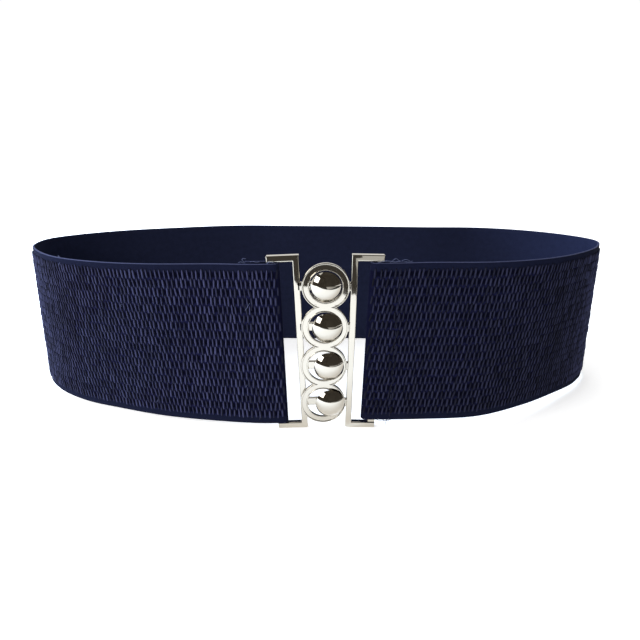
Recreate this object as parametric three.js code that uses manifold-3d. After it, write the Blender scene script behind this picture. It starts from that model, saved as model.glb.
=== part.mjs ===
// Wide elastic stretch belt with a two-part interlocking clasp, in millimetres, +Z up.
// The clasp faces -Y, and the loop stands on its lower edge with the clasp fastened.
import * as THREE from 'three';
import { mergeVertices } from 'three/addons/utils/BufferGeometryUtils.js';
import Module from 'manifold-3d';

const wasm = await Module();
wasm.setup();

// Elastic tape
const TAPE_WIDTH = 75;
const TAPE_WALL = 1.5;
const HALF_SPAN = 150;
const DEPTH = 117;
const HEM_LENGTH = 15;
const LANDING_SHARE = 0.3;
const TAPE_STEP = 5;
const TAPE_ROWS = 3;

// Clearances
const SEAT_GAP = 0.3;
const PLATE_GAP = 0.3;

// Clasp frames, the same casting on both halves
const ARM_HEIGHT = 2.7;
const FRAME_WIDTH = 13.6;
const FRAME_THICKNESS = 2.8;
const BAR_WIDTH = 2.8;
const HIDDEN_BAR_WIDTH = 3.2;
const HIDDEN_BAR_THICKNESS = 1.8;
const HIDDEN_BAR_CHAMFER = 0.5;
const FRAME_CHAMFER = 0.6;
const FRAME_CORNER = 0.5;
const CLASP_HEIGHT = TAPE_WIDTH + 2 * (ARM_HEIGHT + SEAT_GAP);
const CLASP_GAP = 22.2;
const CLASP_OFFSET = 2.5;

// Rings and domes
const RING_COUNT = 4;
const RING_PITCH = 18.05;
const RING_RADIUS = 10.1;
const RING_HOLE_RADIUS = 6.9;
const RING_THICKNESS = 1.5;
const RING_RIM = 0.5;
const RING_LIP = 0.85;
const RING_DISH = 0.35;
const RING_NECK_WIDTH = 10;
const RING_NECK_HEIGHT = 3;
const RING_REACH = 11.85;
const DOME_RADIUS = 6.5;
const DOME_CROWN = 3;
const DOME_EDGE = 0.4;
const DOME_NECK_RADIUS = 2.7;
const DOME_REACH = 12.05;
const STUD_ARM_HEIGHT = 3.8;
const STUD_ARM_THICKNESS = 1.4;
const STUD_PAD_RADIUS = 3.5;
const LUG_HEIGHT = 3.8;
const LUG_THICKNESS = 2;
const RING_SIDES = 32;
const DOME_SIDES = 24;

// How each half hangs: its turn in the clasp's plane, and how its end of the tape sits on it
const STUD_SIDE = {
  side: -1, turn: THREE.MathUtils.degToRad(1.8),
  footSlack: 0.2, headSlack: 0.8, footGap: 0.5, headGap: 0.4, stitch: 12.4,
};
const RING_SIDE = {
  side: 1, turn: THREE.MathUtils.degToRad(1.6),
  footSlack: 2, headSlack: 1.3, footGap: 1.9, headGap: 0.4, stitch: 9.9,
};

// The loop seen from above, from the ring half round the back to the stud half. Across is a share of
// HALF_SPAN and back a share of DEPTH: first for the upper edge of the tape, then for its lower edge.
const LOOP = [
  { across: 0.3, back: 0.01, footAcross: 0.3, footBack: 0.004 },
  { across: 0.487, back: 0.022, footAcross: 0.48, footBack: 0.03 },
  { across: 0.653, back: 0.087, footAcross: 0.647, footBack: 0.126 },
  { across: 0.793, back: 0.2, footAcross: 0.78, footBack: 0.233 },
  { across: 0.907, back: 0.35, footAcross: 0.913, footBack: 0.362 },
  { across: 0.953, back: 0.487, footAcross: 0.983, footBack: 0.496 },
  { across: 0.913, back: 0.624, footAcross: 0.947, footBack: 0.632 },
  { across: 0.8, back: 0.769, footAcross: 0.827, footBack: 0.786 },
  { across: 0.633, back: 0.866, footAcross: 0.647, footBack: 0.885 },
  { across: 0.413, back: 0.896, footAcross: 0.42, footBack: 0.923 },
  { across: 0.173, back: 0.936, footAcross: 0.173, footBack: 0.96 },
  { across: -0.08, back: 0.968, footAcross: -0.08, footBack: 0.968 },
  { across: -0.333, back: 1, footAcross: -0.333, footBack: 0.979 },
  { across: -0.573, back: 0.95, footAcross: -0.58, footBack: 0.949 },
  { across: -0.78, back: 0.874, footAcross: -0.793, footBack: 0.88 },
  { across: -0.927, back: 0.769, footAcross: -0.953, footBack: 0.778 },
  { across: -1, back: 0.658, footAcross: -1.03, footBack: 0.65 },
  { across: -0.993, back: 0.504, footAcross: -1.02, footBack: 0.496 },
  { across: -0.92, back: 0.355, footAcross: -0.933, footBack: 0.35 },
  { across: -0.8, back: 0.207, footAcross: -0.8, footBack: 0.229 },
  { across: -0.647, back: 0.103, footAcross: -0.647, footBack: 0.145 },
  { across: -0.487, back: 0.043, footAcross: -0.487, footBack: 0.072 },
  { across: -0.287, back: 0.017, footAcross: -0.287, footBack: 0.017 },
];

// Depths behind the tape's outer face, which is at zero on the front of the loop
const FOLD_RADIUS = HIDDEN_BAR_THICKNESS / 2 + SEAT_GAP + TAPE_WALL;
const FRAME_FRONT = FOLD_RADIUS - FRAME_THICKNESS / 2;
const RING_BACK = FRAME_FRONT - PLATE_GAP;
const RING_FRONT = RING_BACK - RING_THICKNESS;
const DOME_UNDERSIDE = RING_FRONT - PLATE_GAP;

// Each half is drawn about the middle of its bar, with its frame towards +X on the ring half
const FRAME_OUTER = FRAME_WIDTH - BAR_WIDTH / 2;
const HIDDEN_BAR_INNER = FRAME_OUTER - HIDDEN_BAR_WIDTH;

// Height of a half's middle, with its lower outer corner on the ground
function restHeight(half) {
  return (CLASP_HEIGHT / 2) * Math.cos(half.turn) + FRAME_OUTER * Math.sin(half.turn);
}

// Where a point of a half's frame comes across the belt, at a given height above the ground
function acrossAt(half, outwards, height) {
  const rise = height - restHeight(half);
  const reach = CLASP_GAP / 2 + outwards / Math.cos(half.turn) + rise * Math.tan(half.turn);
  return CLASP_OFFSET + half.side * reach;
}

// Lower and upper edge of the tape where it folds round a half's hidden bar
function tapeEnd(half) {
  const foot = ARM_HEIGHT + half.footGap;
  const head = CLASP_HEIGHT - ARM_HEIGHT - half.headGap;
  const fold = (height, slack) => acrossAt(half, HIDDEN_BAR_INNER - SEAT_GAP - slack - TAPE_WALL, height);
  return { foot, head, footFold: fold(foot, half.footSlack), headFold: fold(head, half.headSlack) };
}

const RING_END = tapeEnd(RING_SIDE);
const STUD_END = tapeEnd(STUD_SIDE);

// Plan of one edge of the tape, from the fold on the ring half to the fold on the stud half
function edgeCurve(foldKey, acrossKey, backKey) {
  const straight = HEM_LENGTH - FOLD_RADIUS;
  const points = [
    new THREE.Vector3(RING_END[foldKey], 0, 0),
    new THREE.Vector3(RING_END[foldKey] + straight, 0, 0),
    ...LOOP.map((row) => new THREE.Vector3(row[acrossKey] * HALF_SPAN, row[backKey] * DEPTH, 0)),
    new THREE.Vector3(STUD_END[foldKey] - straight, 0, 0),
    new THREE.Vector3(STUD_END[foldKey], 0, 0),
  ];
  const curve = new THREE.CatmullRomCurve3(points, false, 'centripetal');
  curve.arcLengthDivisions = 800;
  return curve;
}

const HEAD_EDGE = edgeCurve('headFold', 'across', 'back');
const FOOT_EDGE = edgeCurve('footFold', 'footAcross', 'footBack');
const TAPE_RUN = (HEAD_EDGE.getLength() + FOOT_EDGE.getLength()) / 2;

// Share of an end's own height that the tape still has at a share of its run: 1 at the fold, 0 once landed
function endShare(fromEnd) {
  return 1 - THREE.MathUtils.smoothstep(fromEnd, 0, LANDING_SHARE);
}

// A point of the tape from its run along the loop, its depth behind the outer face and its share of the width
function wrapTape(run, depth, share) {
  const along = THREE.MathUtils.clamp(run / TAPE_RUN, 0, 1);
  const place = FOOT_EDGE.getPointAt(along).lerp(HEAD_EDGE.getPointAt(along), share);
  const tangent = FOOT_EDGE.getTangentAt(along).lerp(HEAD_EDGE.getTangentAt(along), share).normalize();
  const ringShare = endShare(along);
  const studShare = endShare(1 - along);
  const foot = ringShare * RING_END.foot + studShare * STUD_END.foot;
  const head = TAPE_WIDTH
    + ringShare * (RING_END.head - TAPE_WIDTH)
    + studShare * (STUD_END.head - TAPE_WIDTH);
  return new THREE.Vector3(
    place.x - tangent.y * depth,
    place.y + tangent.x * depth,
    THREE.MathUtils.lerp(foot, head, share),
  );
}

// Points of an arc about a centre, in turns of the given number of steps
function arcPoints(x, y, radius, from, to, steps) {
  return Array.from({ length: steps + 1 }, (_, i) => {
    const angle = THREE.MathUtils.lerp(from, to, i / steps);
    return new THREE.Vector2(x + radius * Math.cos(angle), y + radius * Math.sin(angle));
  });
}

// The hem of one end, from the fold inwards: where the channel for the hidden bar ends and where it closes
function hemPlaces(half) {
  const slack = Math.max(half.footSlack, half.headSlack);
  const channelEnd = TAPE_WALL + SEAT_GAP + slack + HIDDEN_BAR_WIDTH + SEAT_GAP;
  return { channelEnd, channelTip: half.stitch - SEAT_GAP, hemSeat: half.stitch + SEAT_GAP };
}

// The channel that the hidden bar passes through, as a hole in the strip's section
function channelHole(half, placeRun) {
  const { channelEnd, channelTip } = hemPlaces(half);
  const bore = FOLD_RADIUS - TAPE_WALL;
  const points = [
    ...arcPoints(FOLD_RADIUS, FOLD_RADIUS, bore, Math.PI * 1.5, Math.PI * 0.5, 6),
    new THREE.Vector2(channelEnd, FOLD_RADIUS + bore),
    new THREE.Vector2(channelTip, TAPE_WALL + SEAT_GAP / 10),
  ];
  return new THREE.Path(points.map((point) => new THREE.Vector2(placeRun(point.x), point.y)));
}

// One end of the strip, unrolled and seen from above: fold, channel and hem, up to the hem's cut edge
function tapeEndGeometry(half, placeRun) {
  const { channelEnd, hemSeat } = hemPlaces(half);
  const outline = [
    new THREE.Vector2(HEM_LENGTH, 0),
    new THREE.Vector2(HEM_LENGTH, TAPE_WALL),
    new THREE.Vector2(HEM_LENGTH - SEAT_GAP, 2 * TAPE_WALL),
    new THREE.Vector2(hemSeat, 2 * TAPE_WALL),
    new THREE.Vector2(channelEnd, 2 * FOLD_RADIUS),
    ...arcPoints(FOLD_RADIUS, FOLD_RADIUS, FOLD_RADIUS, Math.PI * 0.5, Math.PI * 1.5, 8),
  ];
  const section = new THREE.Shape(outline.map((point) => new THREE.Vector2(placeRun(point.x), point.y)));
  section.holes.push(channelHole(half, placeRun));
  return new THREE.ExtrudeGeometry(section, { depth: 1, steps: TAPE_ROWS, bevelEnabled: false });
}

// The strip between the two hems, unrolled
function tapeMiddleGeometry() {
  const steps = Math.round((TAPE_RUN - 2 * HEM_LENGTH) / TAPE_STEP);
  const geometry = new THREE.BoxGeometry(1, 1, 1, steps, 1, TAPE_ROWS);
  const position = geometry.attributes.position;
  for (let i = 0; i < position.count; i += 1) {
    position.setXYZ(
      i,
      THREE.MathUtils.lerp(HEM_LENGTH, TAPE_RUN - HEM_LENGTH, position.getX(i) + 0.5),
      (position.getY(i) + 0.5) * TAPE_WALL,
      position.getZ(i) + 0.5,
    );
  }
  return geometry;
}

// A length of strip without the faces where it meets the next one
function openAtJoints(geometry) {
  const flat = geometry.index ? geometry.toNonIndexed() : geometry;
  const position = flat.attributes.position;
  const joints = [HEM_LENGTH, TAPE_RUN - HEM_LENGTH];
  const kept = [];
  for (let i = 0; i < position.count; i += 3) {
    const corners = [0, 1, 2].map((k) => new THREE.Vector3().fromBufferAttribute(position, i + k));
    const inJoint = joints.some((joint) => corners.every((corner) => Math.abs(corner.x - joint) < 1e-3));
    if (!inJoint) kept.push(...corners);
  }
  return kept;
}

// The tape: its three lengths joined into one closed strip, then wrapped round the loop
function tapeGeometry() {
  const corners = [
    tapeEndGeometry(RING_SIDE, (run) => run),
    tapeMiddleGeometry(),
    tapeEndGeometry(STUD_SIDE, (run) => TAPE_RUN - run),
  ].flatMap(openAtJoints);
  const wrapped = corners.map((corner) => wrapTape(corner.x, corner.y, Math.round(corner.z * TAPE_ROWS) / TAPE_ROWS));
  const geometry = new THREE.BufferGeometry().setFromPoints(wrapped);
  geometry.computeVertexNormals();
  return geometry;
}

// Solid of a closed geometry, ready to join or cut
function solid(geometry) {
  const plain = geometry.index ? geometry.toNonIndexed() : geometry.clone();
  plain.deleteAttribute('normal');
  plain.deleteAttribute('uv');
  const welded = mergeVertices(plain, 1e-4);
  return new wasm.Manifold(new wasm.Mesh({
    numProp: 3,
    vertProperties: new Float32Array(welded.attributes.position.array),
    triVerts: new Uint32Array(welded.index.array),
  }));
}

// Geometry of a joined solid
function geometryOf(manifold) {
  const mesh = manifold.getMesh();
  const geometry = new THREE.BufferGeometry();
  geometry.setAttribute('position', new THREE.BufferAttribute(new Float32Array(mesh.vertProperties), 3));
  geometry.setIndex(new THREE.BufferAttribute(new Uint32Array(mesh.triVerts), 1));
  const flat = geometry.toNonIndexed();
  flat.computeVertexNormals();
  return flat;
}

// Outline drawn across and up, given thickness from its front face backwards
function plate(outline, front, thickness, chamfer) {
  const geometry = new THREE.ExtrudeGeometry(outline, {
    depth: thickness - 2 * chamfer,
    steps: 1,
    bevelEnabled: chamfer > 0,
    bevelThickness: chamfer,
    bevelSize: chamfer,
    bevelOffset: -chamfer,
    bevelSegments: 1,
    curveSegments: 2,
  });
  geometry.rotateX(Math.PI / 2);
  geometry.translate(0, front + thickness - chamfer, 0);
  return geometry;
}

// Rectangle with rounded corners, as a shape or a hole
function roundedBox(Kind, left, right, low, high, radius) {
  const quarter = Math.PI / 2;
  return new Kind([
    ...arcPoints(right - radius, high - radius, radius, 0, quarter, 2),
    ...arcPoints(left + radius, high - radius, radius, quarter, 2 * quarter, 2),
    ...arcPoints(left + radius, low + radius, radius, 2 * quarter, 3 * quarter, 2),
    ...arcPoints(right - radius, low + radius, radius, 3 * quarter, 4 * quarter, 2),
  ]);
}

// Block between two corners
function block(left, right, front, back, low, high) {
  const geometry = new THREE.BoxGeometry(right - left, back - front, high - low);
  geometry.translate((left + right) / 2, (front + back) / 2, (low + high) / 2);
  return geometry;
}

// Turned piece about an axis that points forwards, from radius and depth pairs
function turned(profile, sides) {
  return new THREE.LatheGeometry(profile.map(([radius, depth]) => new THREE.Vector2(radius, depth)), sides);
}

// Joins geometries into one solid
function join(geometries) {
  return geometries.map(solid).reduce((whole, piece) => whole.add(piece));
}

// One cast frame: bar, two arms and the thin hidden bar that the tape folds round
function frameParts() {
  const half = CLASP_HEIGHT / 2;
  const opening = half - ARM_HEIGHT;
  const inner = BAR_WIDTH / 2;
  const outline = roundedBox(THREE.Shape, -inner, FRAME_OUTER, -half, half, FRAME_CORNER);
  const slotOuter = FRAME_OUTER + FRAME_WIDTH;
  const cast = solid(plate(outline, FRAME_FRONT, FRAME_THICKNESS, FRAME_CHAMFER));
  const slotShape = roundedBox(THREE.Shape, inner, slotOuter, -opening, opening, FRAME_CORNER);
  const slot = solid(plate(slotShape, FRAME_FRONT - FRAME_THICKNESS, 3 * FRAME_THICKNESS, 0));
  const reach = half - ARM_HEIGHT / 2;
  const hiddenShape = roundedBox(THREE.Shape, HIDDEN_BAR_INNER, FRAME_OUTER, -reach, reach, FRAME_CORNER);
  const hiddenFront = FOLD_RADIUS - HIDDEN_BAR_THICKNESS / 2;
  const hidden = solid(plate(hiddenShape, hiddenFront, HIDDEN_BAR_THICKNESS, HIDDEN_BAR_CHAMFER));
  return cast.subtract(slot).add(hidden);
}

// Heights of the rings and domes about the middle of a half
const COLUMN = Array.from({ length: RING_COUNT }, (_, i) => (i - (RING_COUNT - 1) / 2) * RING_PITCH);

// One ring: bright rim, dished band and raised lip round the hole
function ringGeometry(height) {
  const rimInner = RING_RADIUS - RING_RIM;
  const lipOuter = RING_HOLE_RADIUS + RING_LIP;
  const geometry = turned([
    [RING_HOLE_RADIUS, RING_BACK],
    [RING_HOLE_RADIUS, RING_FRONT + RING_DISH],
    [RING_HOLE_RADIUS + RING_LIP / 2, RING_FRONT],
    [lipOuter, RING_FRONT + RING_DISH],
    [rimInner - RING_RIM / 2, RING_FRONT + RING_DISH],
    [rimInner, RING_FRONT],
    [RING_RADIUS, RING_FRONT + RING_RIM],
    [RING_RADIUS, RING_BACK],
    [RING_HOLE_RADIUS, RING_BACK],
  ], RING_SIDES);
  geometry.translate(-RING_REACH, 0, height);
  return geometry;
}

// Bridge that fills the neck between two rings of the column
function ringNeck(height) {
  const wide = RING_NECK_WIDTH / 2;
  const tall = RING_NECK_HEIGHT / 2;
  const outline = new THREE.Shape([
    new THREE.Vector2(wide, -tall / 3), new THREE.Vector2(wide, tall / 3),
    new THREE.Vector2(wide * 0.7, tall), new THREE.Vector2(-wide * 0.7, tall),
    new THREE.Vector2(-wide, tall / 3), new THREE.Vector2(-wide, -tall / 3),
    new THREE.Vector2(-wide * 0.7, -tall), new THREE.Vector2(wide * 0.7, -tall),
  ]);
  const geometry = plate(outline, RING_FRONT + RING_DISH / 2, RING_THICKNESS - RING_DISH / 2, 0);
  geometry.translate(-RING_REACH, 0, height);
  return geometry;
}

// Lug that joins a ring to the bar behind it
function ringLug(height) {
  const front = RING_BACK - LUG_THICKNESS / 2;
  return block(
    -RING_REACH + RING_RADIUS - RING_RIM * 2, 0,
    front, front + LUG_THICKNESS,
    height - LUG_HEIGHT / 2, height + LUG_HEIGHT / 2,
  );
}

// The ring half: its frame, the column of rings and their lugs
function ringHalfGeometry() {
  const necks = COLUMN.slice(1).map((height) => height - RING_PITCH / 2);
  const column = join([...COLUMN.map(ringGeometry), ...necks.map(ringNeck), ...COLUMN.map(ringLug)]);
  return geometryOf(frameParts().add(column));
}

// One dome with its neck, which stands in a ring's hole
function domeGeometry(height) {
  const sphere = (DOME_RADIUS ** 2 + DOME_CROWN ** 2) / (2 * DOME_CROWN);
  const crown = DOME_UNDERSIDE - DOME_EDGE - DOME_CROWN;
  const opening = Math.asin(DOME_RADIUS / sphere);
  const cap = Array.from({ length: 6 }, (_, i) => {
    const angle = opening * (1 - i / 5);
    return [i === 5 ? 0 : sphere * Math.sin(angle), crown + sphere * (1 - Math.cos(angle))];
  });
  const geometry = turned([
    ...cap.reverse(),
    [DOME_RADIUS, DOME_UNDERSIDE],
    [DOME_NECK_RADIUS, DOME_UNDERSIDE],
    [DOME_NECK_RADIUS, FRAME_FRONT + STUD_ARM_THICKNESS / 2],
    [0, FRAME_FRONT + STUD_ARM_THICKNESS / 2],
  ], DOME_SIDES);
  geometry.translate(DOME_REACH, 0, height);
  return geometry;
}

// Flat arm from the bar to a dome's neck, with a round pad under the neck
function studArm(height) {
  const arm = block(
    0, DOME_REACH,
    FRAME_FRONT, FRAME_FRONT + STUD_ARM_THICKNESS,
    height - STUD_ARM_HEIGHT / 2, height + STUD_ARM_HEIGHT / 2,
  );
  const pad = new THREE.CylinderGeometry(STUD_PAD_RADIUS, STUD_PAD_RADIUS, STUD_ARM_THICKNESS, DOME_SIDES / 2);
  pad.translate(DOME_REACH, FRAME_FRONT + STUD_ARM_THICKNESS / 2, height);
  return [arm, pad];
}

// The stud half: its frame, turned to the other side, with four arms and domes
function studHalfGeometry() {
  const studs = join([...COLUMN.flatMap(studArm), ...COLUMN.map(domeGeometry)]);
  return geometryOf(frameParts().mirror([1, 0, 0]).add(studs));
}

const elastic = new THREE.MeshStandardMaterial({ color: 0x1b1f36, roughness: 0.9, metalness: 0 });
const nickel = new THREE.MeshStandardMaterial({ color: 0xd8d6d0, roughness: 0.12, metalness: 1 });

// Names a piece and gives it its finish
function piece(name, geometry, material) {
  const mesh = new THREE.Mesh(geometry, material);
  mesh.name = name;
  return mesh;
}

// Stands a half on its lower outer corner at its side of the clasp
function hang(mesh, half) {
  mesh.rotation.y = half.side * half.turn;
  mesh.position.set(CLASP_OFFSET + half.side * (CLASP_GAP / 2), 0, restHeight(half));
  return mesh;
}

const belt = new THREE.Group();
belt.add(piece('elastic_band', tapeGeometry(), elastic));
belt.add(hang(piece('stud_half', studHalfGeometry(), nickel), STUD_SIDE));
belt.add(hang(piece('ring_half', ringHalfGeometry(), nickel), RING_SIDE));

// The origin goes to the middle of the belt's footprint, on the ground
belt.updateMatrixWorld(true);
const bounds = new THREE.Box3().setFromObject(belt, true);
const middle = bounds.getCenter(new THREE.Vector3());
belt.position.set(-middle.x, -middle.y, -bounds.min.z);

export default belt;
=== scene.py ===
"""Wide elastic stretch belt with a polished interlocking clasp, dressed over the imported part."""

import logging
import math
from dataclasses import dataclass, field
from enum import Enum
from typing import NamedTuple, Optional, Sequence

import bmesh
import bpy
import numpy as np
from bmesh.types import BMesh, BMVert
from bpy.types import ID, Material, Mesh, Node, NodeSocket, NodeTree, Object
from mathutils import Matrix, Vector

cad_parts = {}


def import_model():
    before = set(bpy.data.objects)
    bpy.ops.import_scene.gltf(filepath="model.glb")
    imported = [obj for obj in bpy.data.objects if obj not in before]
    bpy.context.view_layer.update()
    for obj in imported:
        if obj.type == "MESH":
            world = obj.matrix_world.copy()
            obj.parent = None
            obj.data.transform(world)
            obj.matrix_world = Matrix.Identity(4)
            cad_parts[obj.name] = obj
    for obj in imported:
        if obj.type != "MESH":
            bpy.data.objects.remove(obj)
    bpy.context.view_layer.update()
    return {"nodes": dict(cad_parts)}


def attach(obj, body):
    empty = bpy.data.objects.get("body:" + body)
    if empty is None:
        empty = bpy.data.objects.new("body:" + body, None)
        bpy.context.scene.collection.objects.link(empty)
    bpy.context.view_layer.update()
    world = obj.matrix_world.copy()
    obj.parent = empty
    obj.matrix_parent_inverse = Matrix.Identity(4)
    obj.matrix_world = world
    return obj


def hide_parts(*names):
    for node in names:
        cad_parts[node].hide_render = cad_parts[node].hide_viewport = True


LOG = logging.getLogger("belt")

MM = 0.001
# Place of the clasp drawing's zero, on the tape's front face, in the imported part's frame
DRAWING_ZERO = (3.847, -56.416, 0.0)
SEED = 7
# How far large faces outweigh small ones in a casting's normals, of 100
FLAT_WEIGHT = 80
# Points of a shape nearer than this, in millimetres, are one
SAME_POINT = 1e-4


# Small helpers


def linear(code: str, alpha: float = 1.0) -> tuple[float, float, float, float]:
    """Turns an sRGB hex colour into a linear one.

    Args:
        code: Colour as six hex digits.
        alpha: Opacity.

    Returns:
        Red, green, blue and alpha.
    """
    parts = [int(code[i : i + 2], 16) / 255 for i in (0, 2, 4)]
    red, green, blue = (c / 12.92 if c <= 0.04045 else ((c + 0.055) / 1.055) ** 2.4 for c in parts)
    return red, green, blue, alpha


def add_node(tree: NodeTree, kind: str, feeds: Optional[dict] = None, **values) -> Node:
    """Adds a node with its settings and inputs.

    Args:
        tree: Node tree to add to.
        kind: Node type.
        feeds: Input name or number to its value, or to the output socket that feeds it.
        **values: Node properties, or inputs written with underscores for spaces.

    Returns:
        The new node.
    """
    node = tree.nodes.new(kind)
    for name, value in values.items():
        if hasattr(node, name):
            setattr(node, name, value)
        else:
            node.inputs[name.replace("_", " ")].default_value = value
    for name, feed in (feeds or {}).items():
        if isinstance(feed, NodeSocket):
            tree.links.new(feed, node.inputs[name])
        else:
            node.inputs[name].default_value = feed
    return node


def smoothstep(value: np.ndarray | float, low: float, high: float) -> np.ndarray | float:
    """Eases from 0 at low to 1 at high."""
    share = np.clip((value - low) / (high - low), 0.0, 1.0)
    return share * share * (3 - 2 * share)


def run_along(points: np.ndarray) -> np.ndarray:
    """Distance of each point from the first, along the line through them."""
    return np.concatenate([[0.0], np.cumsum(np.linalg.norm(np.diff(points, axis=0), axis=1))])


def place_points(points: Sequence) -> np.ndarray:
    """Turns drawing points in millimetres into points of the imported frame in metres."""
    return (np.asarray(points, float) + np.array(DRAWING_ZERO)) * MM


def add_object(name: str, data: ID) -> Object:
    """Puts a new object in the scene.

    Args:
        name: Object name.
        data: Its mesh, curve, camera or light.

    Returns:
        The object.
    """
    thing = bpy.data.objects.new(name, data)
    bpy.context.scene.collection.objects.link(thing)
    return thing


def finish_piece(
    name: str, mesh: Mesh, finish: Material, smooth: Optional[float] = 40.0
) -> Object:
    """Makes a piece of the belt from a finished mesh.

    Args:
        name: Piece name.
        mesh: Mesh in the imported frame.
        finish: Material.
        smooth: Angle in degrees below which edges look smooth, or None for flat.

    Returns:
        The piece, riding on the root body.
    """
    piece = add_object(name, mesh)
    mesh.materials.append(finish)
    if smooth is not None:
        mesh.shade_smooth()
        mesh.set_sharp_from_angle(angle=math.radians(smooth))
    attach(piece, "root")
    LOG.info("%s: %d faces", name, len(mesh.polygons))
    return piece


def keep_flat(piece: Object) -> None:
    """Makes the large faces of a casting reflect as flats, with only their rounded edges turning.

    Args:
        piece: Casting.
    """
    weighting = piece.modifiers.new("flat faces", "WEIGHTED_NORMAL")
    weighting.mode = "FACE_AREA"
    weighting.weight = FLAT_WEIGHT
    weighting.keep_sharp = True


def mesh_from(name: str, build: BMesh, move: Optional[Matrix] = None) -> Mesh:
    """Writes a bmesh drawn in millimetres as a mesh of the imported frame.

    Args:
        name: Mesh name.
        build: Shape in drawing millimetres; it is freed.
        move: Place of the shape in the drawing.

    Returns:
        The mesh, with its faces outwards.
    """
    place = Matrix.Scale(MM, 4) @ Matrix.Translation(DRAWING_ZERO) @ (move or Matrix.Identity(4))
    bmesh.ops.transform(build, matrix=place, verts=build.verts)
    bmesh.ops.recalc_face_normals(build, faces=build.faces)
    mesh = bpy.data.meshes.new(name)
    build.to_mesh(mesh)
    build.free()
    return mesh


def merge_into(target: BMesh, part: BMesh, move: Matrix = Matrix.Identity(4)) -> None:
    """Adds a shape to another one, moved to its place, and frees it.

    Args:
        target: Shape that grows.
        part: Shape that is added.
        move: Place of the part in the target.
    """
    bmesh.ops.recalc_face_normals(part, faces=part.faces)
    bmesh.ops.transform(part, matrix=move, verts=part.verts)
    holder = bpy.data.meshes.new("holder")
    part.to_mesh(holder)
    part.free()
    target.from_mesh(holder)
    bpy.data.meshes.remove(holder)


def round_edges(build: BMesh, round_by: float, steps: int) -> None:
    """Rounds all the edges of a shape.

    Args:
        build: Shape in millimetres.
        round_by: Width of the rounding.
        steps: Faces across the rounding.
    """
    bmesh.ops.bevel(
        build, geom=build.edges[:], offset=round_by, segments=steps, profile=0.5, affect="EDGES", material=-1
    )


def slab(low: Sequence[float], high: Sequence[float], round_by: float, steps: int = 3) -> BMesh:
    """Makes a block between two corners with all its edges rounded.

    Args:
        low: Lowest corner in millimetres.
        high: Highest corner in millimetres.
        round_by: Width of the rounding.
        steps: Faces across the rounding.

    Returns:
        The block.
    """
    build = bmesh.new()
    bmesh.ops.create_cube(build, size=1.0)
    size = Vector(high) - Vector(low)
    middle = (Vector(high) + Vector(low)) / 2
    place = Matrix.Translation(middle) @ Matrix.Diagonal((*size, 1.0))
    bmesh.ops.transform(build, matrix=place, verts=build.verts)
    round_edges(build, round_by, steps)
    return build


def turned(profile: Sequence[tuple[float, float]], steps: int, closed: bool) -> BMesh:
    """Turns a profile about the drawing's depth axis.

    Args:
        profile: Radius and depth pairs in millimetres.
        steps: Faces round the turn.
        closed: True for a ring's closed profile, False for one that starts and ends on the axis.

    Returns:
        The turned shape.
    """
    build = bmesh.new()
    corners = [build.verts.new((radius, depth, 0.0)) for radius, depth in profile]
    edges = [build.edges.new(pair) for pair in zip(corners, corners[1:])]
    if closed:
        edges.append(build.edges.new((corners[-1], corners[0])))
    bmesh.ops.spin(
        build, geom=corners + edges, cent=(0, 0, 0), axis=(0, 1, 0), angle=math.tau, steps=steps,
        use_merge=True,
    )
    bmesh.ops.remove_doubles(build, verts=build.verts, dist=SAME_POINT)
    return build


# Finishes

ROW_HEIGHT = 3.83
# Brings the seams between the rows of ribs to multiples of the row height
ROW_SHIFT = 0.52
# The wave texture multiplies places by this
WAVE_FACTOR = 20
SHEEN_TINT = "8C93B8"


def new_material(name: str, colour: str, **inputs) -> tuple[Material, Node]:
    """Makes a material with uniform values on its shader.

    Args:
        name: Material name.
        colour: Base colour as six hex digits.
        **inputs: Shader inputs, written with underscores for spaces.

    Returns:
        The material and its shader.
    """
    made = bpy.data.materials.new(name)
    made.use_nodes = True
    shader = made.node_tree.nodes["Principled BSDF"]
    shader.inputs["Base Color"].default_value = linear(colour)
    for key, value in inputs.items():
        shader.inputs[key.replace("_", " ")].default_value = value
    return made, shader


class Weave(Enum):
    """How a part of the tape is woven."""

    PLAIN = "plain"
    HOLLOW = "hollow"
    RIB = "rib"


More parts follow.
